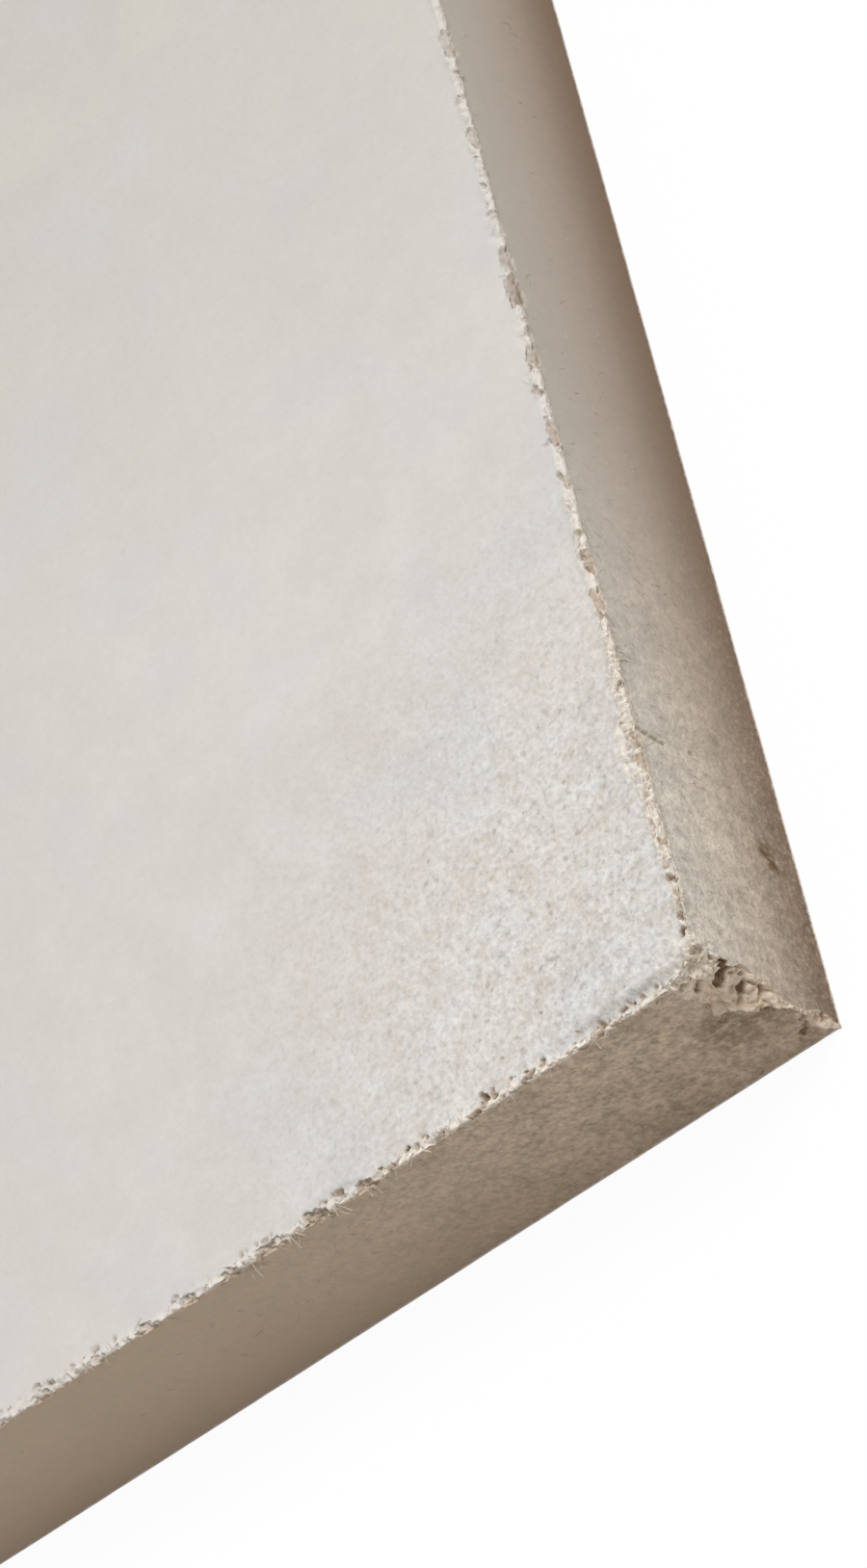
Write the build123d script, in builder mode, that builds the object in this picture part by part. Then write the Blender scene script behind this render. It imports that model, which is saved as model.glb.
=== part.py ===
"""Fibre cement board: one flat sheet of autoclaved cellulose fibre cement, sawn square on all four edges.

The sheet lies on its back. +X runs along its length, +Y across its width and +Z out of its face.
The origin is the middle of the back. All sizes are in millimetres.
"""

import os

from build123d import *

# Stock size
board_length = 1200.0
board_width = 800.0
board_thickness = 12.0

# The saw crumbles the cement along every arris and leaves a narrow bevel
arris_break = 0.4

# The corner at +X, -Y of the face has been knocked off:
# how far the break runs back along the front edge, along the right edge and down the upright corner
knock_along_front = 1.8
knock_along_side = 1.6
knock_down = 2.2


def knocked_corner_plane():
    """The plane of the break, with its normal pointing out of the board."""
    corner = Vector(board_length / 2, -board_width / 2, board_thickness)
    on_front_edge = corner - Vector(knock_along_front, 0, 0)
    on_side_edge = corner + Vector(0, knock_along_side, 0)
    on_upright = corner - Vector(0, 0, knock_down)
    across = on_side_edge - on_front_edge
    down = on_upright - on_front_edge
    return Plane(origin=on_front_edge, x_dir=across, z_dir=down.cross(across))


with BuildPart() as board:
    with BuildSketch(Plane.XY):
        Rectangle(board_length, board_width)
    extrude(amount=board_thickness)
    chamfer(board.edges(), arris_break)
    split(bisect_by=knocked_corner_plane(), keep=Keep.BOTTOM)

board.part.label = "board"

os.makedirs("parts", exist_ok=True)
export_step(board.part, "parts/board.step")

box = board.part.bounding_box()
print("board", box.size, "volume mm3", round(board.part.volume), "faces", len(board.faces()))
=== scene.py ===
# %% [markdown]
# # A fibre cement board
# The real thing is one sheet of cement and wood fibre, pressed, cured and sawn to size. This lesson dresses
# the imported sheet: its worn arrises and loose fibres become geometry, and its pale skin and brown sawn edges
# become one material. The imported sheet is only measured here, and every place is counted from its box.

import math
import random

import bmesh
import bpy
from mathutils import Matrix, Quaternion, Vector, kdtree, noise


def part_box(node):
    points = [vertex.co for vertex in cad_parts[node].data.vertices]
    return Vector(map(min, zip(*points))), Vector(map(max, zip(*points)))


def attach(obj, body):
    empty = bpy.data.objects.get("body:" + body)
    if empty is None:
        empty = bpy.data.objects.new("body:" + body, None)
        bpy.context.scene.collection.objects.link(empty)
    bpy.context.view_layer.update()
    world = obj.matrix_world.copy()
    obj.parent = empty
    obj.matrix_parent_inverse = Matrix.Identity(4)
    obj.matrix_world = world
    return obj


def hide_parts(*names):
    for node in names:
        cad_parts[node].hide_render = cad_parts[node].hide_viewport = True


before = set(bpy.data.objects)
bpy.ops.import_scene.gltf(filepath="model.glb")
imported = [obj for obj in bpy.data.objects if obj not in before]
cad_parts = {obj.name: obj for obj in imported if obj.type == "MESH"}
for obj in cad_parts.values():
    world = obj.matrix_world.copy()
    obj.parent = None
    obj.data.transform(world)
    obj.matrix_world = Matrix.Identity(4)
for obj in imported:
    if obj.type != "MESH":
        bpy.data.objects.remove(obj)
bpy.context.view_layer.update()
low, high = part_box("board")
MM = 0.001
print("board in mm", [round(side / MM, 2) for side in high - low])

# %% [markdown]
# ## Helpers for node trees
# Every finish below is a tree of nodes, and wiring nodes one by one hides what a tree does. A few small
# helpers feed a socket, add a node, do sums, ease a value and mix colours, so a finish reads like a recipe.
# Colours are written as they look on a screen, and turned into the linear values that shaders reckon with.


# %% Node helpers
def feed(tree, socket, value):
    """Links a socket to another node's output, or sets it to a plain value."""
    if isinstance(value, bpy.types.NodeSocket):
        tree.links.new(value, socket)
    else:
        socket.default_value = value


def add(tree, kind, inputs=None, **properties):
    """Adds a shader node, sets its properties and feeds its inputs by name or number."""
    node = tree.nodes.new("ShaderNode" + kind)
    for name, value in properties.items():
        setattr(node, name, value)
    for name, value in (inputs or {}).items():
        feed(tree, node.inputs[name], value)
    return node


def sums(tree, operation, *values):
    """One step of arithmetic."""
    node = add(tree, "Math", operation=operation)
    for socket, value in zip(node.inputs, values):
        feed(tree, socket, value)
    return node.outputs["Value"]


def plus(tree, first, second):
    return sums(tree, "ADD", first, second)


def minus(tree, first, second):
    return sums(tree, "SUBTRACT", first, second)


def times(tree, first, second):
    return sums(tree, "MULTIPLY", first, second)


def ease(tree, value, start, end):
    """Rises smoothly from 0 at start to 1 at end; with start above end it falls."""
    inputs = {"Value": value, "From Min": start, "From Max": end}
    return add(tree, "MapRange", inputs, interpolation_type="SMOOTHSTEP").outputs["Result"]


def mix(tree, share, first, second):
    """Mixes two colours. The colour sockets of a Mix node are its inputs 6 and 7 and its output 2."""
    return add(tree, "Mix", {0: share, 6: first, 7: second}, data_type="RGBA").outputs[2]


def colour(red, green, blue):
    """A colour as a screen shows it, 0 to 255, made linear."""
    shares = [channel / 255 for channel in (red, green, blue)]
    return [((share + 0.055) / 1.055) ** 2.4 for share in shares] + [1.0]


print("helpers ready; mid grey is", [round(channel, 3) for channel in colour(188, 188, 188)])

# %% [markdown]
# ## The light
# A pale board needs light that is soft but not flat: the face is brightest, the right edge a little darker
# and the front edge darkest, which is what makes the corner read as solid. Lamps all round would even that
# out. One broad sun from the right and behind gives it, and a weak world fills the rest. To the eye the
# world is plain white, and the Light Path node tells such rays from those that carry light.

# %% World and sun
scene = bpy.context.scene
scene.view_settings.view_transform = "Standard"
WHITE = (1.0, 1.0, 1.0, 1.0)
FILL = 0.5
SUN_FROM = Vector((0.40, 0.30, 0.85))
SUN_LEVEL = 1.95
SUN_SPREAD = math.radians(24)


def seen_directly(tree):
    """1 for rays that the eye sees straight, mirrored or through glass, 0 for light that bounces about."""
    path = add(tree, "LightPath").outputs
    straight = sums(tree, "MAXIMUM", path["Is Camera Ray"], path["Is Glossy Ray"])
    return sums(tree, "MAXIMUM", straight, path["Is Transmission Ray"])


world = bpy.data.worlds.new("studio")
world.use_nodes = True
scene.world = world
tree = world.node_tree
tree.nodes.clear()
fill = add(tree, "Background", {"Color": WHITE, "Strength": FILL})
backdrop = add(tree, "Background", {"Color": WHITE, "Strength": 1.0})
chosen = add(tree, "MixShader", {0: seen_directly(tree), 1: fill.outputs[0], 2: backdrop.outputs[0]})
add(tree, "OutputWorld", {"Surface": chosen.outputs[0]})

sun = bpy.data.objects.new("broad_sun", bpy.data.lights.new("broad_sun", "SUN"))
sun.data.energy = SUN_LEVEL
sun.data.angle = SUN_SPREAD
sun.rotation_mode = "QUATERNION"
sun.rotation_quaternion = SUN_FROM.to_track_quat("Z", "Y")
scene.collection.objects.link(sun)
print("sun from", [round(share, 2) for share in SUN_FROM.normalized()], "fill", FILL)

# %% [markdown]
# ## The ground
# The board lies on a white ground, which is white to the eye only. For bounced light it is grey, because a
# white ground would light the sawn edges from below. Most of its white is a glow, and the rest is lit paint,
# so the board still drops a faint shadow on it. The ground is stage, so it is no part of the board.

# %% Ground
GROUND_REACH = 60.0
GROUND_GAP = 0.02 * MM
GROUND_GLOW = 0.95
ground_mesh = bpy.data.meshes.new("ground")
sheet = bmesh.new()
bmesh.ops.create_grid(sheet, x_segments=1, y_segments=1, size=GROUND_REACH)
bmesh.ops.translate(sheet, vec=(0, 0, low.z - GROUND_GAP), verts=sheet.verts)
sheet.to_mesh(ground_mesh)
sheet.free()
ground = bpy.data.objects.new("ground", ground_mesh)
scene.collection.objects.link(ground)

ground_paint = bpy.data.materials.new("ground_paint")
ground_paint.use_nodes = True
tree = ground_paint.node_tree
tree.nodes.clear()
bounced = add(tree, "BsdfDiffuse", {"Color": colour(200, 195, 188)})
lit = add(tree, "BsdfDiffuse", {"Color": colour(250, 250, 250)})
glow = add(tree, "Emission", {"Color": WHITE, "Strength": 1.0})
white = add(tree, "MixShader", {0: GROUND_GLOW, 1: lit.outputs[0], 2: glow.outputs[0]})
chosen = add(tree, "MixShader", {0: seen_directly(tree), 1: bounced.outputs[0], 2: white.outputs[0]})
add(tree, "OutputMaterial", {"Surface": chosen.outputs[0]})
ground_mesh.materials.append(ground_paint)
print("ground lies", GROUND_GAP / MM, "mm below the board")

# %% [markdown]
# ## The camera
# The view is a close one of a single corner, looking down on the face. It is easiest to say as a
# photographer would: which point of the board to aim at, from how far, from which side, how high, and how
# far the camera is rolled. The lens is long, so the board's edges hardly converge.

# %% Camera
corner = Vector((high.x, low.y, high.z))
aim = corner + Vector((-13.6, 19.9, 0.0)) * MM
DISTANCE = 0.417
AZIMUTH = math.radians(42.8)
ELEVATION = math.radians(44.2)
ROLL = math.radians(-67.2)
LENS_MM = 175.0
SENSOR_MM = 36.0

away = Vector((math.sin(AZIMUTH), -math.cos(AZIMUTH), 0.0)) * math.cos(ELEVATION)
away.z = math.sin(ELEVATION)
camera = bpy.data.objects.new("camera", bpy.data.cameras.new("camera"))
camera.data.lens = LENS_MM
camera.data.sensor_width = SENSOR_MM
facing = (-away).to_track_quat("-Z", "Y") @ Quaternion((0, 0, 1), ROLL)
camera.matrix_world = Matrix.LocRotScale(aim + away * DISTANCE, facing, None)
scene.collection.objects.link(camera)
scene.camera = camera
print("camera at", [round(share, 3) for share in camera.matrix_world.translation])

# %% [markdown]
# ## The blank
# A board is a block, so the mesh starts as a cube stretched to the stock size and cut into nearly square
# cells, each two triangles. Everything below is measured in from its sides: a place lies some depth below
# the nearest end, side and face.

# %% Block of stock
middle = (low + high) / 2
half = (high - low) / 2
CELL = 24 * MM
blank = bmesh.new()
bmesh.ops.create_cube(blank, size=1.0)
bmesh.ops.scale(blank, vec=high - low, verts=blank.verts)
bmesh.ops.translate(blank, vec=middle, verts=blank.verts)
for axis in (0, 1):
    along = [edge for edge in blank.edges if abs(edge.verts[0].co[axis] - edge.verts[1].co[axis]) > CELL]
    cuts = round(2 * half[axis] / CELL) - 1
    bmesh.ops.subdivide_edges(blank, edges=along, cuts=cuts, use_grid_fill=True)
bmesh.ops.triangulate(blank, faces=blank.faces)


def depths(place):
    """How deep a place lies below the nearest end, side and face."""
    return [half[axis] - abs(place[axis] - middle[axis]) for axis in range(3)]


print("block", len(blank.faces), "faces")

# %% [markdown]
# ## Where the wear is
# Wear is planned before the mesh is made finer, because the mesh has to be finest where there is wear. A pit
# is a short row of bowls from one place to another, with a size, a depth, a darkness and a way in, so a nick,
# a soft spot and a long crack differ only in these. Chance and noise both start from a seed, because
# Blender's vector noise is otherwise another one in every run.

# %% Plan of a pit
INTO_FACE = Vector((0, 0, -1))
INTO_RIGHT = Vector((-1, 0, 0))
INTO_FRONT = Vector((0, 1, 0))
INTO_CORNER = INTO_RIGHT + INTO_FRONT
CHANCE_SEED = 23
NOISE_SEED = 9
BOWL_STEP = 0.3
SWAY_SIZE = 0.7
SWAY = 0.12
chance = random.Random(CHANCE_SEED)
noise.seed_set(NOISE_SEED)
pits = []


def pit(start, end, size, depth, dark, way):
    """Plans one pit between two places, given in from the right end, the front and the face. All is in mm."""
    start = Vector(start)
    end = Vector(end)
    steps = 1 + round((end - start).length / (BOWL_STEP * size))
    bowls = []
    for step in range(steps + 1):
        inset = start.lerp(end, step / steps)
        sway = noise.noise_vector(inset / SWAY_SIZE) * SWAY
        bowls.append(corner + Vector((-inset.x, inset.y, -inset.z)) * MM + sway * MM)
    pits.append((bowls, size * MM, depth * MM, dark, way.normalized()))


print("seeds", CHANCE_SEED, "and", NOISE_SEED)

# %% [markdown]
# ## Pits at given places
# The pits that catch the eye have set places, in millimetres. Bites are taken out of an arris, so they are
# given by how far along it they lie and how large they are. Rim pits lie in the face, behind the front rim.
# The pits of the torn upright lie on the front and on the right edge, by how far they are from the upright
# and how far down. A crack runs down the right edge from its rim, with a soft spot below it.

# %% Bites, rim pits and upright pits
BITE_DARK = 0.4
RIM_PIT_DARK = 0.55
right_bites = {4.9: 0.3, 8.1: 0.3, 13.4: 0.45, 14.8: 0.4, 24.1: 0.5, 26.6: 0.55,
               32.0: 0.4, 35.4: 0.5, 40.6: 0.6, 45.3: 0.8, 47.4: 0.6, 56.0: 0.5, 62.9: 0.6}
for along, size in right_bites.items():
    start = (0.0, along - size, 0.1)
    end = (0.15, along + 0.8 * size, 0.05)
    pit(start, end, 0.7 * size, 0.5 * size, BITE_DARK, INTO_FACE + INTO_RIGHT)
front_bites = {24.6: 0.5, 28.3: 0.6, 31.2: 0.4, 32.2: 0.5, 34.8: 0.5, 38.0: 0.4,
               41.4: 0.5, 45.1: 0.4, 49.7: 0.5}
for along, size in front_bites.items():
    start = (along - size, 0.05, 0.1)
    end = (along + 0.8 * size, 0.2, 0.05)
    pit(start, end, 0.7 * size, 0.5 * size, BITE_DARK, INTO_FACE + INTO_FRONT)
rim_pits = [((5.6, 0.2), (6.2, 0.05), 0.2), ((6.7, 0.35), (7.2, 0.15), 0.25),
            ((8.9, 0.5), (9.2, 0.45), 0.11), ((12.0, 0.35), (12.7, 0.1), 0.2),
            ((15.2, 0.45), (15.7, 0.35), 0.16), ((16.1, 0.15), (16.6, 0.05), 0.16),
            ((18.7, 0.2), (19.4, 0.05), 0.2), ((2.2, 0.4), (2.9, 0.3), 0.12),
            ((22.0, 0.3), (22.7, 0.1), 0.2)]
for start, end, size in rim_pits:
    pit((*start, 0.0), (*end, 0.0), size, 1.2 * size, RIM_PIT_DARK, INTO_FACE)
front_pits = [((1.2, 1.8), (1.5, 2.1), 0.26), ((0.1, 2.8), (0.6, 3.0), 0.34),
              ((0.1, 4.7), (0.5, 4.9), 0.3), ((0.9, 5.1), (1.2, 5.2), 0.2),
              ((2.3, 5.0), (2.9, 5.2), 0.2), ((0.6, 6.8), (1.0, 6.6), 0.26),
              ((2.3, 6.3), (2.1, 6.5), 0.15), ((0.5, 9.8), (0.8, 10.1), 0.24),
              ((1.1, 10.3), (1.4, 10.6), 0.3), ((1.4, 0.8), (1.8, 0.9), 0.2),
              ((1.8, 10.8), (2.0, 11.0), 0.2), ((0.2, 9.1), (0.5, 9.3), 0.2),
              ((1.0, 8.8), (1.2, 8.9), 0.14), ((3.1, 0.4), (3.5, 0.5), 0.16),
              ((1.9, 3.4), (2.2, 3.7), 0.18), ((4.2, 2.2), (4.4, 2.5), 0.12)]
for start, end, size in front_pits:
    pit((start[0], 0.0, start[1]), (end[0], 0.0, end[1]), size, 0.8 * size, 0.4 + 1.5 * size, INTO_CORNER)
right_pits = [((0.2, 2.8), (1.1, 2.6), 0.42), ((0.1, 5.8), (0.4, 5.6), 0.22),
              ((0.1, 10.7), (0.3, 10.5), 0.24), ((0.4, 4.2), (0.7, 4.0), 0.2),
              ((0.8, 1.5), (1.1, 1.3), 0.2), ((0.9, 3.7), (1.1, 3.6), 0.16)]
for start, end, size in right_pits:
    pit((0.0, *start), (0.0, *end), size, 0.8 * size, 0.4 + 1.5 * size, INTO_CORNER)
crack_top = (0.0, 15.5, 0.3)
crack_foot = (0.0, 15.2, 2.4)
pit(crack_top, crack_foot, 0.17, 0.15, 0.6, INTO_RIGHT)
soft_spot = (0.0, 15.4, 4.8)
soft_spot_end = (0.0, 15.3, 5.0)
pit(soft_spot, soft_spot_end, 0.18, 0.1, 0.9, INTO_RIGHT)
by_hand = len(pits)
print(by_hand, "pits by hand")

# %% [markdown]
# ## Strewn pits
# Grains of cement also fall out behind the rims of both arrises. Spread evenly they would look drilled, so
# noise along the arris says how likely a pit is, and they come in clusters. Far from the corner they are
# pale. A k-d tree then finds the pit that is nearest to any place, which the next step asks for often.

# %% Strewn pits
TRIES = 90


def crumbling(along, line, size):
    """Noise from 0 to 1 along an arris. Each line of noise has a number of its own."""
    return 0.5 + 0.5 * noise.noise(Vector((along / size, 7.31 * line, 0.37)))


def paled(along):
    """How strongly wear shows this far along an arris from the corner, in millimetres."""
    return 0.3 + 0.7 * math.exp(-(along / 30) ** 2)


for turn in range(TRIES):
    on_right = turn % 2
    along = chance.uniform(1.0, 64 if on_right else 54)
    spread = 0.5 * math.exp(-((along - 12) / 5) ** 2) if on_right else 0.4 * math.exp(-(along / 14) ** 2)
    inset = (0.2 if on_right else 0.4) + spread + chance.uniform(-0.15, 0.35)
    size = 0.1 + 0.14 * chance.random()
    to_along = along + size * chance.uniform(-1.5, 1.5)
    to_inset = inset + size * chance.uniform(-1, 1)
    start = (inset, along, 0.0) if on_right else (along, inset, 0.0)
    end = (to_inset, to_along, 0.0) if on_right else (to_along, to_inset, 0.0)
    if crumbling(along * MM, 91 + on_right, 3.5 * MM) > chance.uniform(0.2, 0.75):
        pit(start, end, size, size * chance.uniform(0.8, 1.4), 0.7 * paled(along), INTO_FACE)
pit_places = kdtree.KDTree(sum(len(plan[0]) for plan in pits))
for number, plan in enumerate(pits):
    for bowl in plan[0]:
        pit_places.insert(bowl, number)
pit_places.balance()
print(len(pits) - by_hand, "pits strewn")

# %% [markdown]
# ## How fine the mesh has to be
# Worn arrises need many small faces, and the middle of a flat face needs none, so an even grid would waste
# nearly all of its faces. Instead a rule says how large a triangle may be at any place. It is smallest round
# the pits and in a band along the arrises of the near corner, and grows from there.

# %% Grain of the mesh
CLOSE_LENGTH = 56 * MM
CLOSE_WIDTH = 70 * MM
ARRIS_GRAIN = 0.085 * MM
BACK_ARRIS_GRAIN = 0.6 * MM
FAR_ARRIS_GRAIN = 2.4 * MM
EDGE_GRAIN = 0.7 * MM
FACE_GRAIN = 0.4 * MM
PLAIN_GRAIN = 60 * MM
BREAK_BAND = 2.8 * MM
FOOT_BAND = 1.2 * MM
EDGE_BAND = 0.25 * MM


def beyond_close(place):
    """How far a place is from the part of the board that is seen close."""
    beyond_length = max(0.0, high.x - place.x - CLOSE_LENGTH)
    beyond_width = max(0.0, place.y - low.y - CLOSE_WIDTH)
    return math.hypot(beyond_length, beyond_width)


def fine_band(on_face, upright, by_back, from_corner):
    """How far in from an arris the mesh stays at its finest."""
    if on_face:
        return (0.5 + 1.1 * math.exp(-from_corner / (9 * MM))) * MM
    if from_corner < 4 * MM or (upright and not by_back):
        return BREAK_BAND
    return FOOT_BAND if upright else EDGE_BAND


def grain(place):
    """How long an edge of the mesh may be at a place."""
    below = depths(place)
    beyond = beyond_close(place)
    from_corner = (corner - place).length
    by_back = place.z < middle.z
    on_face = below[2] < min(below[0], below[1])
    upright = max(below[0], below[1]) < below[2]
    finest = BACK_ARRIS_GRAIN if by_back and not upright else ARRIS_GRAIN
    finest = min(FAR_ARRIS_GRAIN, finest + 0.05 * beyond)
    band = fine_band(on_face, upright, by_back, from_corner)
    size = finest + (0.25 + 2 * beyond) * max(0.0, sorted(below)[1] - band)
    if not on_face:
        size = min(size, EDGE_GRAIN + 0.05 * beyond, 1.4 * FAR_ARRIS_GRAIN)
    elif not by_back:
        size = min(size, FACE_GRAIN + 0.02 * from_corner + 0.14 * beyond)
    nearest, number, gap = pit_places.find(place)
    radius = pits[number][1]
    return min(size, PLAIN_GRAIN, 0.3 * radius + 0.3 * max(0.0, gap - radius))


print("grain at the corner", round(grain(corner) / MM, 3), "mm")

# %% [markdown]
# ## A finer mesh
# Every pass splits the longest side of those triangles that are larger than the rule allows. Where the
# neighbour across that side has a longer one, that goes first, so no triangle gets thin. No face has two
# sides split in one pass, so all faces stay triangles.

# %% Finer where it is worn
SIDE_TO_GRAIN = 1.7


def longest_side(face):
    return max(face.edges, key=lambda edge: edge.calc_length())


def side_to_split(face):
    """The longest side of a face, or of the neighbours across it for as long as they have longer ones."""
    side = longest_side(face)
    while True:
        across = next(other for other in side.link_faces if other is not face)
        longer = longest_side(across)
        if longer.calc_length() < 1.0001 * side.calc_length():
            return side
        face, side = across, longer


passes = 0
waiting = list(blank.faces)
while waiting:
    large = []
    for face in waiting:
        if longest_side(face).calc_length() > SIDE_TO_GRAIN * grain(face.calc_center_median()):
            large.append(face)
    sides = []
    cut = set()
    for face in large:
        side = side_to_split(face)
        if cut.isdisjoint(side.link_faces):
            cut.update(side.link_faces)
            sides.append(side)
    made = bmesh.ops.subdivide_edges(blank, edges=sides, cuts=1, use_single_edge=True)["geom_inner"]
    again = dict.fromkeys(face for face in large if face.is_valid)
    for vert in made:
        if isinstance(vert, bmesh.types.BMVert):
            again.update(dict.fromkeys(vert.link_faces))
    waiting = list(again)
    passes += 1
print("refined in", passes, "passes to", len(blank.faces), "faces")

# %% [markdown]
# ## Worn arrises
# Cement crumbles where the saw leaves it, and the corner has been knocked. A bevel would give one even
# width, so wear is done as breaking: near an arris every point that lies outside a break plane is
# pushed back onto it, and noise along the arris says how far the plane reaches in. The same rule with three
# depths makes the knocked corner.


# %% Break planes
def over(value, start):
    """0 up to start, then rising to 1."""
    return max(0.0, value - start) / (1 - start)


def rise(value, start, end):
    """Rises smoothly from 0 at start to 1 at end; with start above end it falls."""
    share = min(1.0, max(0.0, (value - start) / (end - start)))
    return share * share * (3 - 2 * share)


def hump(value, top, width):
    """1 at the top, falling smoothly to 0 over the width on both sides."""
    return rise(abs(value - top), width, 0.0)


def push_in(below, cuts):
    """Pushes a place onto the plane that cuts the ways in at these lengths, and says how far out it was.

    The place is given by its depths. A length of 0 means that the plane never cuts that way.
    """
    shares = [1 / cut if cut else 0.0 for cut in cuts]
    short = 1 - sum(depth * share for depth, share in zip(below, shares))
    if short <= 0:
        return below, 0.0
    pull = short / sum(share * share for share in shares)
    return [depth + pull * share for depth, share in zip(below, shares)], short


print("a sharp arris pushed onto a break of 1 by 1:", push_in([0.0, 0.0, 5.0], [1.0, 1.0, 0.0])[0])

# %% [markdown]
# ## How far the breaks reach
# Along an arris three noises of different size add up, so small nicks sit in larger ones. Down the upright
# the break is wide at the top, narrow further down, and a little wider once more by the foot.


# %% Reach of the breaks
def arris_cuts(along, line, more):
    """How far a break reaches into the face and down the edge at one place along an arris."""
    fine = over(crumbling(along, line, 0.5 * MM), 0.4)
    medium = over(crumbling(along, line + 1, 1.1 * MM), 0.45)
    coarse = over(crumbling(along, line + 2, 2.6 * MM), 0.5)
    into_face = 0.04 + 0.3 * fine + 0.45 * medium + 0.9 * coarse + more
    down_edge = 0.04 + 0.2 * fine + 0.35 * medium + 0.35 * coarse + 0.5 * more
    return into_face * MM, down_edge * MM


def upright_cuts(place):
    """How far the break of the near upright corner reaches along both of its edges."""
    down = (high.z - place.z) / MM
    wide = rise(down, 7.8, 4.6)
    foot = hump(down, 10.3, 1.6)
    along_front = 0.12 + (2.3 * wide + 0.7 * foot) * (0.7 + 0.6 * crumbling(place.z, 71, 0.9 * MM))
    along_side = 0.12 + (1.3 * wide + 0.4 * foot) * (0.7 + 0.6 * crumbling(place.z, 72, 1.1 * MM))
    return along_front * MM, along_side * MM, 0.0


halfway = upright_cuts((corner + Vector((corner.x, corner.y, low.z))) / 2)
print("upright break halfway down in mm", [round(cut / MM, 2) for cut in halfway])

# %% [markdown]
# ## Breaking the arrises
# Each point near an arris is pushed in more than once: onto the break of the long arris, onto that of the
# short one, and by the corner onto the breaks of the upright and of the knock. The arrises of the back stay
# nearly square. How far a point was outside the breaks of the corner is kept as an attribute, which the
# material reads.

# %% Wear
KNOCK = (1.8, 1.6, 2.2)
BACK_SHARE = 0.05
WEAR_REACH = 4 * MM


def ways_out(place):
    """Which end, side and face of the board a place is nearest to, as 1 or -1."""
    return [1 if place[axis] > middle[axis] else -1 for axis in range(3)]


def at_depths(below, ways):
    """The place at these depths below an end, a side and a face."""
    return Vector([middle[axis] + ways[axis] * (half[axis] - below[axis]) for axis in range(3)])


def worn(place):
    """Where a point of the block lies once its arrises have crumbled, and how far out of the break it was."""
    below = depths(place)
    if sorted(below)[1] > WEAR_REACH:
        return place, 0.0
    ways = ways_out(place)
    line = 40 * (ways[0] + 1) + 20 * (ways[1] + 1) + 10 * (ways[2] + 1)
    from_corner = place - corner
    near = math.exp(-from_corner.length / (3.5 * MM))
    share = BACK_SHARE if ways[2] < 0 else 1.0
    shredded = 0.5 * hump(-from_corner.x / MM, 27, 9) if ways[1] < 0 else 0.0
    shredded *= crumbling(place.x, 81, 1.2 * MM)
    into_face, down_edge = arris_cuts(place.x, line, 0.2 * near + shredded)
    below = push_in(below, (0.0, into_face * share, down_edge * share))[0]
    chipped = (0.5 + 1.3 * hump(from_corner.y / MM, 12, 8)) if ways[0] > 0 else 0.0
    chipped *= over(crumbling(place.y, 82, 1.7 * MM), 0.45)
    into_face, down_edge = arris_cuts(place.y, line + 3, 0.2 * near + chipped)
    below = push_in(below, (into_face * share, 0.0, down_edge * share))[0]
    ragged = 1 + 0.3 * noise.noise(place / (0.8 * MM))
    outside = 0.0
    if ways[0] > 0 > ways[1]:
        below, outside = push_in(below, [cut * ragged for cut in upright_cuts(place)])
    if near > 0.1:
        below, knocked = push_in(below, [cut * ragged * MM for cut in KNOCK])
        outside = max(outside, knocked)
    return at_depths(below, ways), outside


torn = blank.verts.layers.float.new("torn")
flat_places = [vert.co.copy() for vert in blank.verts]
moved = 0
for vert, flat in zip(blank.verts, flat_places):
    vert.co, outside = worn(flat)
    vert[torn] = rise(outside, 0.0, 0.15)
    moved += (vert.co - flat).length > 0.01 * MM
print("moved", moved, "points")

# %% [markdown]
# ## Grains that fell out
# Close up, a break is not smooth: lumps of cement and matted fibre stand out, and between them grains have
# fallen away. Displacing along one noise would give soft hills. Here several noises, shaken by another, swell
# into lumps, and where one of them falls below a level that rises with wear, the point sinks into a hole with
# steep walls. By the corner the face also dips in a shallow groove behind the front rim.


# %% Lumps, holes and groove
def relief_at(place, wear, loss):
    """How far a worn place stands out, and how far it has sunk into a hole or a crease, as shares."""
    shaken = place + noise.noise_vector(place / (0.5 * MM)) * (0.16 * MM)
    swell = abs(noise.noise(shaken / (0.7 * MM)))
    bead = abs(noise.noise(shaken / (0.36 * MM)))
    grit = noise.noise(shaken / (0.22 * MM))
    hollow = noise.noise(shaken / (0.5 * MM)) + 0.5 * grit
    hole = loss * rise(0.7 * loss - 0.85 - hollow, 0.0, 0.25)
    crease = 0.35 * wear * rise(min(swell, 1.5 * bead), 0.07, 0.0)
    return wear * (1.8 * swell + 0.5 * bead + 0.25 * abs(grit)), max(hole, crease)


def wear_at(place, below, ways, broken):
    """How lumpy a place is and how likely grains are lost there, both from 0 to 1."""
    on_end = below[0] < below[1]
    along = (place.y - corner.y if on_end else corner.x - place.x) / MM
    inset = min(below[0], below[1]) / MM
    if inset < below[2] / MM:
        wear = 0.5 * rise(below[2] / MM, 0.5, 0.1)
        loss = 0.0
    elif on_end:
        width = 0.3 + 0.7 * crumbling(along, 96, 1.6) + 2.2 * hump(along, 12.5, 9) * crumbling(along, 93, 2.5)
        wear = rise(inset, width, 0.4 * width) * (1 - 0.5 * rise(along, 18, 26))
        loss = wear * (0.15 + 0.9 * over(crumbling(along, 95, 2.2), 0.45) + 0.25 * hump(along, 12.5, 8))
    else:
        width = 0.35 + 0.6 * crumbling(along, 94, 2.5)
        wear = 0.75 * rise(inset, width, 0.3 * width)
        loss = hump(inset, 0.65, 0.6) * (0.5 + 0.5 * crumbling(along, 90, 3.0))
    share = 1 / (1 + beyond_close(place) / (20 * MM)) if ways[2] > 0 else 0.0
    wear = max(wear * share, broken, 0.9 * hump((corner - place).length, 0.0, 4 * MM))
    return wear, max(loss * share, 0.55 * broken)


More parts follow.
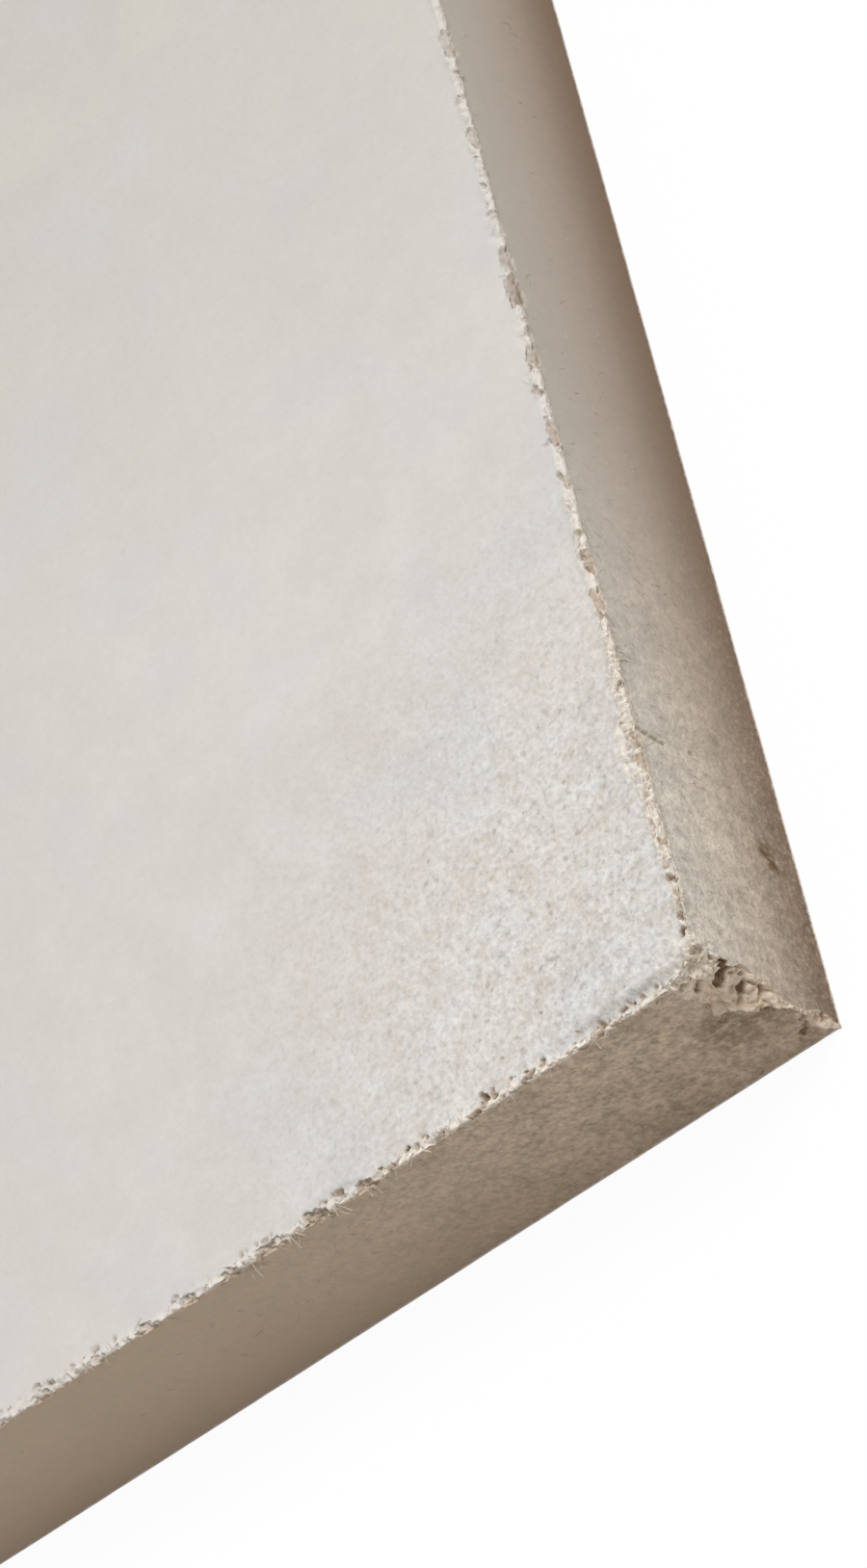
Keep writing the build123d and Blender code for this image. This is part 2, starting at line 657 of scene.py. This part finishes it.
def groove_at(place):
    """How far the face dips behind the front rim, in millimetres."""
    along = (corner.x - place.x) / MM
    share = max(0.0, 1 - along / 12)
    return 0.6 * math.sqrt(share) * hump((place.y - corner.y) / MM, 0.55 + 0.35 * share, 0.65)


dips = [groove_at(corner + Vector((-2.0, step * 0.1, 0.0)) * MM) for step in range(20)]
print("groove is at most", round(max(dips), 2), "mm deep, 2 mm from the corner")

# %% [markdown]
# ## Crumbling the surface
# Every worn point now moves in or out, mostly towards the sides that it is close to. The torn upright is
# calmer lower down. Nothing stands out of the back, because the board lies on it. How far a point stands out
# or has sunk is kept in two attributes, because the material paints lumps cream, partly as painted highlight,
# and holes brown, partly as painted shade.

# %% Crumble
LUMP_HEIGHT = 0.34 * MM
HOLE_DEPTH = 0.34 * MM
TORN_SHARE = 0.62
CRUMBLE_REACH = 4.5 * MM
# How far a point has sunk is painted brown by the material: partly the fibre inside, partly painted shade.
pit_brown_and_shade = blank.verts.layers.float.new("pit_brown_and_shade")
lump = blank.verts.layers.float.new("lump")
for vert, flat in zip(blank.verts, flat_places):
    below = depths(flat)
    if sorted(below)[1] > CRUMBLE_REACH:
        continue
    ways = ways_out(flat)
    wear, loss = wear_at(flat, below, ways, vert[torn])
    if wear == 0 and loss == 0:
        continue
    out, sunk = relief_at(flat, wear, loss)
    pull = [math.exp(-depth / (0.4 * MM)) for depth in below]
    weight = math.sqrt(sum(share * share for share in pull))
    calm = (1 - TORN_SHARE) * vert[torn] * rise((high.z - flat.z) / MM, 0.4, 2.0)
    move = (HOLE_DEPTH * sunk - LUMP_HEIGHT * out) * (1 - calm)
    now = [depth + move * share / weight for depth, share in zip(depths(vert.co), pull)]
    if ways[2] < 0:
        now[2] = max(0.0, now[2])
    vert.co = at_depths(now, ways)
    vert[pit_brown_and_shade] = sunk
    vert[lump] = min(1.0, 1.6 * out)
for vert, flat in zip(blank.verts, flat_places):
    if flat.z > middle.z and flat.y - corner.y < 2 * MM:
        vert.co.z -= groove_at(flat) * MM * math.exp(-(high.z - flat.z) / (0.5 * MM))
print("sunk", sum(vert[pit_brown_and_shade] > 0.3 for vert in blank.verts), "points")

# %% [markdown]
# ## Pressing the pits
# Each planned pit is a row of rough bowls: every point inside one moves along the pit's way in, most in the
# middle, and only once where bowls overlap. A boolean would also do, but moving points keeps the mesh closed.

# %% Bowls
DARK_DEPTH = 0.25 * MM
ROUGH_SIZE = 0.3 * MM
blank.verts.ensure_lookup_table()
points = kdtree.KDTree(len(flat_places))
for number, flat in enumerate(flat_places):
    points.insert(flat, number)
points.balance()
for bowls, size, depth, dark, way in pits:
    pressed = {}
    for bowl in bowls:
        for flat, number, gap in points.find_range(bowl, 1.7 * size):
            shaken = flat + noise.noise_vector(flat / ROUGH_SIZE) * (0.09 * MM + 0.2 * size)
            radius = size * (0.95 + 0.4 * noise.noise(flat / ROUGH_SIZE))
            share = max(0.0, 1 - ((shaken - bowl).length / radius) ** 2)
            pressed[number] = max(share, pressed.get(number, 0.0))
    for number, share in pressed.items():
        vert = blank.verts[number]
        vert.co += way * (depth * min(1.0, 1.6 * share))
        # A pit is painted darker the deeper it is: partly the brown fibre inside, partly painted shade.
        vert[pit_brown_and_shade] = min(1.0, max(vert[pit_brown_and_shade], 1.4 * dark * share * depth / DARK_DEPTH))
print("pressed", len(pits), "pits")

# %% [markdown]
# ## Fine relief
# The sawn edges and the pressed face are never quite flat, and the rims are beaded. A last push along the
# normals gives both. It goes inwards, so the sheet keeps its size.

# %% Slow waves and beads
WAVE_SIZE = 4 * MM
WAVE_DEPTH_MM = 0.03
BEAD_SIZE = 0.42 * MM
BEAD_DEPTH_MM = 0.06
blank.normal_update()
for vert in blank.verts:
    by_arris = math.exp(-sorted(depths(vert.co))[1] / (0.5 * MM))
    wave = 0.5 + 0.5 * noise.noise(vert.co / WAVE_SIZE)
    bead = 0.5 + 0.5 * noise.noise(vert.co / BEAD_SIZE)
    if vert.co.z < middle.z:
        bead = 0.0
    vert.co -= vert.normal * (WAVE_DEPTH_MM * wave + BEAD_DEPTH_MM * by_arris * bead) * MM
furthest = max((vert.co - flat).length for vert, flat in zip(blank.verts, flat_places))
print("the furthest that a point has moved in all is", round(furthest / MM, 2), "mm")

# %% [markdown]
# ## Room for the corner on the map
# An exported model wears its colours as a picture, and a UV map says which part of it each face wears. An
# even map spends as many pixels on the plain middle of a sheet as on its worn corner, so the corner would
# blur. Here each of the six sides has a row of the map, and places along it are spaced by the logarithm of
# their distance from the corner. The first few centimetres then fill about a third of the row.

# %% Map for the export
MAP_EASE = 15 * MM
ROW_GAP = 0.008
row_heights = {(2, 1): 0.44, (2, -1): 0.14, (1, -1): 0.16, (0, 1): 0.16, (1, 1): 0.03, (0, -1): 0.03}
rows = {}
row_start = 0.0
for side, height in row_heights.items():
    rows[side] = (row_start, height)
    row_start += height + ROW_GAP


def spaced(place, axis):
    """How far along a row of the map a place lies, from 0 at the corner to 1."""
    gap = abs(place[axis] - corner[axis])
    if axis == 2:
        return gap / (2 * half.z)
    return math.log1p(gap / MAP_EASE) / math.log1p(2 * half[axis] / MAP_EASE)


export_map = blank.loops.layers.uv.new("OFBake")
blank.verts.index_update()
for face in blank.faces:
    flats = [flat_places[vert.index] for vert in face.verts]
    centre = sum(flats, Vector()) / len(flats)
    below = depths(centre)
    out = below.index(min(below))
    row_start, height = rows[(out, ways_out(centre)[out])]
    first, second = [axis for axis in range(3) if axis != out]
    for loop, flat in zip(face.loops, flats):
        loop[export_map].uv = (spaced(flat, first), row_start + height * spaced(flat, second))
print("map rows", [round(row_start, 3) for row_start, height in rows.values()])

# %% [markdown]
# ## The sheet
# The blank is now the board, and becomes one object. Smooth shading hides the facets, and edges that are
# sharper than a set angle stay sharp, so breaks and arrises keep their crispness. The object rides on the
# frame's one body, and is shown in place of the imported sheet.

# %% Sheet
SHARP = math.radians(75)
board_mesh = bpy.data.meshes.new("board_sheet")
for face in blank.faces:
    face.smooth = True
blank.to_mesh(board_mesh)
blank.free()
board_mesh.set_sharp_from_angle(angle=SHARP)
board = bpy.data.objects.new("board_sheet", board_mesh)
scene.collection.objects.link(board)
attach(board, "root")
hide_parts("board")
print("board_sheet", len(board_mesh.polygons), "faces")

# %% [markdown]
# ## Loose fibres
# Saws tear wood fibre rather than cut it, so hairs stand off the arrises and lie matted on the sawn edges.
# A hair system would do on a whole coat, but these are few and must become a mesh. So each hair is one short
# line of a curve object with a bevel, which Blender turns into a closed tube. All lines share one object, so
# they make one joined mesh.

# %% One hair
FIBRE_STEPS = 4
fibre_curve = bpy.data.curves.new("loose_fibres", "CURVE")
fibre_curve.dimensions = "3D"
fibre_curve.bevel_depth = 1.0
fibre_curve.bevel_resolution = 0
fibre_curve.use_fill_caps = True


def fibre(root, out, lie, length, lift, loose, thickness):
    """Adds one hair that starts in the surface, runs along lie, bends sideways and lifts off.

    A loose hair ends in the air, and any other comes back down to the surface.
    """
    side = out.cross(lie)
    bend = chance.uniform(-0.7, 0.7)
    line = fibre_curve.splines.new("POLY")
    line.points.add(FIBRE_STEPS)
    for step, point in enumerate(line.points):
        part = step / FIBRE_STEPS
        up = lift * (part if loose else math.sin(math.pi * part)) - 0.3 * thickness
        wave = bend * part * part + 0.12 * math.sin(5 * part + bend * 9)
        place = root + lie * (length * part) + side * (length * wave) + out * up
        point.co = (*place, 1.0)
        point.radius = thickness * (1 - 0.5 * part)


print("a hair is a line of", FIBRE_STEPS, "steps")

# %% [markdown]
# ## Where hairs grow
# The faces of the sheet itself say where hairs can start: those of the arrises, where hairs stand off, and
# those of the sawn edges, where they lie flat. Larger faces and faces near the corner are chosen more often.

# %% Hairs of the arrises and edges
HAIRLESS_FOOT = 4.5 * MM
ARRIS_WIDTH = 0.4 * MM
HAIRY_REACH = 40 * MM
homes = {"edge": [], "arris": []}
for face in board_mesh.polygons:
    place = face.center
    if beyond_close(place) > 0 or place.z < low.z + HAIRLESS_FOOT:
        continue
    below = depths(place)
    to_arris = max(min(below[0], below[1]), below[2])
    to_upright = max(below[0], below[1])
    if min(to_arris, to_upright) < ARRIS_WIDTH:
        homes["arris"].append(face)
    elif min(below[0], below[1]) < below[2]:
        homes["edge"].append(face)

# For each home: how many hairs, the shortest, the longest and the lift in mm, and the share that is loose
hairs = {"edge": (450, 0.25, 0.8, 0.03, 0.05), "arris": (800, 0.2, 0.9, 0.1, 0.5)}
for home, (count, shortest, longest, lift, loose_share) in hairs.items():
    faces = homes[home]
    sizes = [face.area * math.exp(-((face.center - corner).length / HAIRY_REACH) ** 2) for face in faces]
    for face in chance.choices(faces, weights=sizes, k=count):
        turn = Matrix.Rotation(chance.uniform(0, 2 * math.pi), 3, face.normal)
        lie = (turn @ face.normal.orthogonal()).normalized()
        loose = chance.random() < loose_share
        length = chance.uniform(shortest, longest) * MM
        height = (length * chance.uniform(0.1, 0.45)) if loose and home == "arris" else lift * MM
        thickness = chance.uniform(0.009, 0.016) * MM
        fibre(face.center, face.normal, lie, length, height, loose, thickness)
print("hairs", {home: values[0] for home, values in hairs.items()})

# %% [markdown]
# ## Tufts
# Here and there the saw has pulled out a whole bunch. A tuft is a few thicker hairs round one place on an
# arris, given in millimetres in from the right end, the front and the face. Most hang down the sawn edge.

# %% Tufts
TUFT_SPREAD = 0.35
ROOT_SHARE = 0.8485
TUFT_LIFT = 0.1 * MM
TUFT_THICKNESS = 0.05 * MM
tufts = [((0.0, 19.4, 0.05), INTO_RIGHT, 5), ((0.0, 20.6, 0.05), INTO_RIGHT, 5),
         ((0.0, 14.2, 0.1), INTO_RIGHT, 4), ((24.8, 0.05, 0.1), INTO_FRONT, 8),
         ((27.0, 0.05, 0.1), INTO_FRONT, 9), ((30.0, 0.05, 0.1), INTO_FRONT, 7),
         ((20.5, 0.05, 0.1), INTO_FRONT, 6), ((33.5, 0.05, 0.1), INTO_FRONT, 7),
         ((8.0, 0.05, 0.1), INTO_FRONT, 4)]
for (from_right, from_front, from_face), way_in, count in tufts:
    for turn in range(count):
        spread = Vector([chance.gauss(0, TUFT_SPREAD) for axis in range(3)])
        root = corner + (Vector((-from_right, from_front, -from_face)) + ROOT_SHARE * spread) * MM
        root.z = min(root.z, corner.z)
        root.x = min(root.x, corner.x)
        root.y = max(root.y, corner.y)
        lie = (INTO_FACE * 0.6 - way_in * 0.25 + spread).normalized()
        length = chance.uniform(0.3, 1.0) * MM
        fibre(root, -way_in, lie, length, TUFT_LIFT, True, TUFT_THICKNESS)
print(len(tufts), "tufts")

# %% [markdown]
# ## One mesh of hairs
# The curve is only a means. Its evaluated mesh is kept as the second piece of the part, and the curve object
# is removed.

# %% Mesh of the fibres
line_object = bpy.data.objects.new("fibre_lines", fibre_curve)
scene.collection.objects.link(line_object)
bpy.context.view_layer.update()
graph = bpy.context.evaluated_depsgraph_get()
fibre_mesh = bpy.data.meshes.new_from_object(line_object.evaluated_get(graph))
bpy.data.objects.remove(line_object)
fibre_mesh.name = "loose_fibres"
fibres = bpy.data.objects.new("loose_fibres", fibre_mesh)
scene.collection.objects.link(fibres)
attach(fibres, "root")
print("loose_fibres", sum(len(face.vertices) - 2 for face in fibre_mesh.polygons), "triangles")

# %% [markdown]
# ## Patterns of the stock
# Two patterns come back in several finishes, matted strands and specks. Each is a node group, built once.
# Strands are the thin lines where a noise crosses its middle value, broken up by a second noise.


# %% Strands
def group(name, inputs, outputs):
    """An empty shader node group with named sockets, and its input and output nodes."""
    tree = bpy.data.node_groups.new(name, "ShaderNodeTree")
    for socket, kind in inputs.items():
        tree.interface.new_socket(socket, in_out="INPUT", socket_type="NodeSocket" + kind)
    for socket in outputs:
        tree.interface.new_socket(socket, in_out="OUTPUT", socket_type="NodeSocketFloat")
    return tree, tree.nodes.new("NodeGroupInput").outputs, tree.nodes.new("NodeGroupOutput").inputs


def soft_noise(tree, place, size, detail=2.0, shift=0.0):
    """Noise from 0 to 1 with lumps of that size, shifted to look unlike its neighbours."""
    shifts = (shift, 0.7 * shift, 1.3 * shift)
    moved = add(tree, "VectorMath", {0: place, 1: shifts}, operation="ADD").outputs[0]
    scale = sums(tree, "DIVIDE", 1.0, size)
    return add(tree, "TexNoise", {"Vector": moved, "Scale": scale, "Detail": detail}).outputs["Fac"]


tree, given, result = group("matted_strands", {"Place": "Vector", "Size": "Float"}, ["Strands"])
strands_group = tree
strongest = None
for layer in range(3):
    lines = soft_noise(tree, given["Place"], given["Size"], 1.0, 0.013 * (layer + 1))
    off_middle = sums(tree, "ABSOLUTE", minus(tree, lines, 0.5))
    strand = ease(tree, off_middle, 0.035, 0.008)
    gaps = soft_noise(tree, given["Place"], given["Size"], 0.0, 0.031 * (layer + 1))
    strand = times(tree, strand, ease(tree, gaps, 0.46, 0.56))
    strongest = strand if strongest is None else sums(tree, "MAXIMUM", strongest, strand)
feed(tree, result["Strands"], strongest)
print(strands_group.name, "has", len(strands_group.nodes), "nodes")

# %% [markdown]
# ## Specks
# Specks are the middles of Voronoi cells, bent a little by noise. Each cell also carries a number between 0
# and 1. A finish picks the specks whose numbers lie in a range of its own, so one pattern serves several.

# %% Specks
tree, given, result = group("specks", {"Place": "Vector", "Size": "Float"}, ["Specks", "Number"])
specks_group = tree
warp = soft_noise(tree, given["Place"], times(tree, given["Size"], 0.5))
warped = times(tree, minus(tree, warp, 0.5), given["Size"])
place = add(tree, "VectorMath", {0: given["Place"], 1: warped}, operation="ADD").outputs[0]
cells = add(tree, "TexVoronoi", {"Vector": place, "Scale": sums(tree, "DIVIDE", 1.0, given["Size"])}).outputs
feed(tree, result["Specks"], ease(tree, cells["Distance"], 0.34, 0.12))
feed(tree, result["Number"], add(tree, "SeparateColor", {0: cells["Color"]}).outputs[0])


def use(tree, pattern, **inputs):
    """Adds a pattern group to a tree and feeds its inputs by name."""
    node = add(tree, "Group", node_tree=pattern)
    for name, value in inputs.items():
        feed(tree, node.inputs[name], value)
    return node.outputs


def some(tree, specks, start, end):
    """Those specks whose number lies from start to end."""
    picked = sums(tree, "COMPARE", specks["Number"], (start + end) / 2, (end - start) / 2)
    return times(tree, specks["Specks"], picked)


print(specks_group.name, "has", len(specks_group.nodes), "nodes")

# %% [markdown]
# ## One material for face and edges
# The sheet is one stuff, so it has one material, and where a point lies says how it looks. Its depth below
# the face and below the nearest edge tell pressed skin from sawn edge, and both together tell how near an
# arris it is. The attributes of the mesh tell what is torn, what is a lump and what has been dug out. These
# shares mix the finishes further down.

# %% Where a point lies
cement = bpy.data.materials.new("fibre_cement")
cement.use_nodes = True
tree = cement.node_tree
tree.nodes.clear()
place = add(tree, "TexCoord").outputs["Object"]
parts = add(tree, "SeparateXYZ", {0: place}).outputs


def depth_below(axis):
    """The depth of a place below the nearest of two opposite sides, as nodes."""
    from_middle = sums(tree, "ABSOLUTE", minus(tree, parts[axis], middle[axis]))
    return minus(tree, half[axis], from_middle)


below_end = depth_below(0)
below_flank = depth_below(1)
below_edge = sums(tree, "MINIMUM", below_end, below_flank)
below_face = depth_below(2)
from_top = sums(tree, "DIVIDE", minus(tree, high.z, parts[2]), high.z - low.z)
ragged = times(tree, minus(tree, soft_noise(tree, place, 0.3 * MM), 0.5), 0.24 * MM)
sawn = ease(tree, plus(tree, minus(tree, below_face, below_edge), ragged), 0.05 * MM, 0.2 * MM)
on_end = ease(tree, minus(tree, below_flank, below_end), -0.6 * MM, 0.6 * MM)
to_arris = plus(tree, sums(tree, "MAXIMUM", below_edge, below_face), ragged)
# The pale rim along an arris: partly the paler broken cement, partly painted highlight.
rim = times(tree, ease(tree, to_arris, 0.55 * MM, 0.15 * MM), minus(tree, 1.0, sawn))
broken = add(tree, "Attribute", attribute_name="torn").outputs["Fac"]
broken_rim = times(tree, minus(tree, 1.0, broken), times(tree, broken, 4.0))
# Lumps are painted cream, partly as painted highlight, and sunk places brown, partly as painted shade.
lumps = add(tree, "Attribute", attribute_name="lump").outputs["Fac"]
dug = add(tree, "Attribute", attribute_name="pit_brown_and_shade").outputs["Fac"]
print("masks take", len(tree.nodes), "nodes")

# %% [markdown]
# ## Near and far
# The corner is seen sharp, and a close lens blurs what is further off. Depth of field stays off here, since
# the board is looked at from all sides, so the patterns themselves get weaker with distance from the corner.

# %% Shares by distance
gap = add(tree, "VectorMath", {0: place, 1: corner}, operation="DISTANCE").outputs["Value"]


def faded(near, far, rest):
    """1 up to the near distance from the corner, falling to the rest at the far one, both in millimetres."""
    return sums(tree, "MULTIPLY_ADD", ease(tree, gap, far * MM, near * MM), 1 - rest, rest)


# A share for painted light: it makes the short ends lighter near the corner.
lit_near_corner = ease(tree, gap, 44 * MM, 8 * MM)
fading = faded(8, 40, 0.1)
slow_fading = faded(8, 75, 0.3)
rim_fading = faded(16, 48, 0.32)
print("shares by distance make it", len(tree.nodes), "nodes")

# %% [markdown]
# ## Noises of this board
# Each finish is one colour, made lighter and darker by a sum of patterns. They are made once, from grit to
# clouds as wide as a hand, and every finish takes its own share of them.

# %% Noises and specks
fine = soft_noise(tree, place, 0.3 * MM, 3.0, 0.2)
flecks = soft_noise(tree, place, 0.8 * MM, 2.0, 0.4)
flakes = soft_noise(tree, place, 0.5 * MM, 1.0, 0.8)
blotch = soft_noise(tree, place, 3.0 * MM, 2.0, 0.5)
hue = soft_noise(tree, place, 8 * MM, 1.0, 0.9)
cloud = soft_noise(tree, place, 24 * MM, 1.0, 0.6)
wide_cloud = soft_noise(tree, place, 140 * MM, 1.0, 0.7)
matted = use(tree, strands_group, Place=place, Size=0.9 * MM)["Strands"]
small_specks = use(tree, specks_group, Place=place, Size=0.4 * MM)
large_specks = use(tree, specks_group, Place=place, Size=0.75 * MM)
face_specks = some(tree, small_specks, 0.0, 0.05)
grains = some(tree, small_specks, 0.5, 0.72)
pinholes = some(tree, large_specks, 0.0, 0.06)
edge_specks = some(tree, large_specks, 0.5, 0.62)


def centred(pattern, weight):
    """A pattern that swings about 0, by this much."""
    return times(tree, minus(tree, pattern, 0.5), weight)


def scaled(base, scale):
    """A colour made lighter or darker."""
    return add(tree, "VectorMath", {0: base, "Scale": scale}, operation="SCALE").outputs[0]


def lit_by(base, *swings):
    """A colour made lighter and darker by the sum of some swings, more so by the corner."""
    total = swings[0]
    for swing in swings[1:]:
        total = plus(tree, total, swing)
    return scaled(base, sums(tree, "MULTIPLY_ADD", total, fading, 1.0))


print("noises make it", len(tree.nodes), "nodes")

# %% [markdown]
# ## The pale skin
# The pressed face is pale, with flecks of cream and cool grey, painted shade where small dents would be and a
# few dark specks, and is paler and darker in slow clouds. It is also painted darker away from the corner, a
# painted falloff of light. Its hue also drifts a little, from warm to cool. One plain grey, however well
# chosen, would look like plastic.

# %% Skin
# Painted light: the skin is lighter near the corner and darker away from it, a painted falloff of light.
LIT_NEAR_SKIN = colour(213, 209, 204)
SHADED_FAR_SKIN = colour(201, 197, 191)
CREAM_FLECK = colour(211, 202, 189)
GREY_FLECK = colour(216, 215, 213)
WARM_HUE = colour(212, 205, 194)
COOL_HUE = colour(207, 206, 206)
skin = mix(tree, ease(tree, gap, 95 * MM, 30 * MM), SHADED_FAR_SKIN, LIT_NEAR_SKIN)
warm = sums(tree, "MULTIPLY_ADD", flecks, 0.6, times(tree, blotch, 0.4))
warmth = times(tree, ease(tree, warm, 0.52, 0.35), times(tree, fading, 0.7))
coolness = times(tree, ease(tree, warm, 0.5, 0.65), times(tree, fading, 0.6))
skin = mix(tree, warmth, skin, CREAM_FLECK)
skin = mix(tree, coolness, skin, GREY_FLECK)
skin = mix(tree, times(tree, ease(tree, hue, 0.5, 0.7), 0.3), skin, WARM_HUE)
skin = mix(tree, times(tree, ease(tree, hue, 0.5, 0.3), 0.3), skin, COOL_HUE)
# Painted shade: the skin is darker where the flakes noise is low, as the shade of small dents that have no
# relief.
painted_dent_shade = times(tree, ease(tree, flakes, 0.44, 0.3), -0.16)
dark_specks = times(tree, face_specks, -0.3)
dark_pinholes = times(tree, pinholes, -0.3)
skin = lit_by(skin, centred(fine, 0.75), centred(flecks, 0.2), painted_dent_shade, dark_specks, dark_pinholes)
slow = times(tree, plus(tree, centred(flecks, 0.06), centred(blotch, 0.16)), slow_fading)
slow = plus(tree, slow, plus(tree, centred(wide_cloud, 0.14), centred(cloud, 0.1)))
skin = scaled(skin, plus(tree, slow, 1.0))
print("the skin makes it", len(tree.nodes), "nodes")

# %% [markdown]
# ## The sawn edges
# A sawn edge is matted brown fibre with grains of paler cement. The two short ends are painted pale below the
# face and darker and browner towards the back, which is painted shade, and lighter near the corner, which is
# painted light. The long edges are brown all over and a little darker towards the back, also painted shade.
# A few stains have set places. A stain is a soft ball of colour round a point, and the flecks make its rim
# uneven.

# %% Sawn edges
# Painted light: the short ends are lighter near the corner.
end_top = mix(tree, lit_near_corner, colour(192, 184, 174), colour(211, 204, 193))
end_mid = mix(tree, lit_near_corner, colour(181, 168, 155), colour(199, 186, 171))
end_edge = mix(tree, ease(tree, from_top, 0.0, 0.6), end_top, end_mid)
# Painted shade: the short ends grow darker and browner towards the back.
end_edge = mix(tree, ease(tree, from_top, 0.4, 1.05), end_edge, colour(134, 113, 95))
end_edge = lit_by(end_edge, centred(fine, 0.5), times(tree, matted, 0.16), centred(flecks, 0.85))
# Painted shade: the long edges grow a little darker towards the back.
flank = mix(tree, ease(tree, from_top, 0.2, 1.0), colour(197, 178, 157), colour(187, 166, 145))
flank = lit_by(flank, centred(fine, 1.2), times(tree, matted, 0.14), centred(flecks, 0.9))
edge = mix(tree, on_end, flank, end_edge)
edge = lit_by(edge, centred(blotch, 0.6), times(tree, edge_specks, -0.25))

BROWN_STAIN = colour(122, 99, 75)
DARK_STAIN = colour(104, 80, 50)
# For each stain: its middle from the corner and its reach, both in mm, its share and its colour
stains = [((-2.6, 0.0, -6.4), 4.2, 0.55, BROWN_STAIN), ((0.0, 10.5, -9.3), 1.1, 0.9, DARK_STAIN),
          ((0.0, 9.6, -9.7), 0.8, 0.9, DARK_STAIN)]
for inset, reach, share, stain_colour in stains:
    stain_middle = corner + Vector(inset) * MM
    from_stain = add(tree, "VectorMath", {0: place, 1: stain_middle}, operation="DISTANCE").outputs["Value"]
    inside = ease(tree, from_stain, reach * MM, 0.2 * reach * MM)
    stain = times(tree, inside, ease(tree, flecks, 0.75, 0.45))
    edge = mix(tree, times(tree, stain, share), edge, stain_colour)

pale_grains = sums(tree, "MAXIMUM", ease(tree, fine, 0.52, 0.75), grains)
edge = mix(tree, times(tree, pale_grains, times(tree, fading, 0.4)), edge, colour(206, 196, 182))
print("the edges make it", len(tree.nodes), "nodes")

# %% [markdown]
# ## Broken cement and pits
# Where the cement has broken it is cream: palest on the rims and lumps and at the top of the torn upright,
# more tan further down. That paleness is partly the broken cement and partly painted highlight. What has been
# dug out is tan where it is shallow and brown where it is deep: partly the brown fibre inside, partly painted
# shade. These go over skin and edge in that order, as wear lies over finish.

# %% Breaks and pits
CREAM = colour(238, 228, 214)
PALE_CRUMB = colour(236, 228, 217)
DEEP_BROWN_AND_SHADE = colour(124, 100, 76)
# The torn zone is palest at its top: partly the cream of the broken skin, partly painted light.
tan = mix(tree, ease(tree, from_top, 0.02, 0.3), colour(250, 240, 222), colour(228, 204, 177))
crumb = mix(tree, broken, PALE_CRUMB, tan)
# Lumps and the rim of the torn zone are painted cream: partly the paler cement, partly painted highlight.
lump_cream_and_highlight = times(tree, lumps, sums(tree, "MULTIPLY_ADD", broken, -0.5, 1.0))
cream = sums(tree, "MAXIMUM", lump_cream_and_highlight, times(tree, broken_rim, 0.8))
crumb = lit_by(mix(tree, cream, crumb, CREAM), centred(fine, 0.7))
base = mix(tree, sawn, skin, edge)
# Rims and lumps painted pale: partly the broken cement, partly painted highlight.
pale = times(tree, sums(tree, "MAXIMUM", rim, times(tree, lumps, 0.8)), rim_fading)
base = mix(tree, sums(tree, "MAXIMUM", pale, times(tree, broken, 0.85)), base, crumb)
gaps_tan_and_shade = mix(tree, broken, colour(188, 166, 143), colour(198, 172, 145))
# Shallow pits are painted tan and deep ones brown: partly the fibre inside, partly painted shade.
shallow = times(tree, ease(tree, dug, 0.0, 0.4), times(tree, rim_fading, 0.75))
base = mix(tree, shallow, base, gaps_tan_and_shade)
deep = times(tree, ease(tree, dug, 0.3, 0.9), times(tree, slow_fading, 0.9))
base = mix(tree, deep, base, DEEP_BROWN_AND_SHADE)
print("breaks make it", len(tree.nodes), "nodes")

# %% [markdown]
# ## Surface of the board
# Cement and fibre are dull, so the surface is rough and reflects little. The pits and lumps are geometry, and
# bump adds only the grit that is finer than the mesh.

# %% Board surface
DULL = 0.2
GRIT_HEIGHT = 0.1 * MM
raised = sums(tree, "MULTIPLY_ADD", flecks, 1.2, fine)
bump = add(tree, "Bump", {"Height": raised, "Strength": fading, "Distance": GRIT_HEIGHT})
rough = add(tree, "MapRange", {"Value": fine, "To Min": 0.86, "To Max": 0.98}).outputs["Result"]
surface = add(tree, "BsdfPrincipled", {"Base Color": base, "Roughness": rough, "Specular IOR Level": DULL,
                                       "Normal": bump.outputs["Normal"]})
add(tree, "OutputMaterial", {"Surface": surface.outputs[0]})
board_mesh.materials.append(cement)
print("fibre_cement has", len(tree.nodes), "nodes")

# %% [markdown]
# ## Colour of the fibres
# Wood fibre is paler than the edge it was torn from. One slow noise takes it from tan to cream, so that
# neighbouring hairs differ, which a plain colour would not give.

# %% Fibre material
TAN_HAIR = colour(184, 169, 151)
CREAM_HAIR = colour(218, 209, 196)
hair = bpy.data.materials.new("fibre_hair")
hair.use_nodes = True
tree = hair.node_tree
tree.nodes.clear()
place = add(tree, "TexCoord").outputs["Object"]
tone = soft_noise(tree, place, 0.9 * MM)
base = mix(tree, ease(tree, tone, 0.35, 0.65), TAN_HAIR, CREAM_HAIR)
surface = add(tree, "BsdfPrincipled", {"Base Color": base, "Roughness": 0.8, "Specular IOR Level": DULL})
add(tree, "OutputMaterial", {"Surface": surface.outputs[0]})
fibre_mesh.materials.append(hair)
print("fibre_hair has", len(tree.nodes), "nodes")
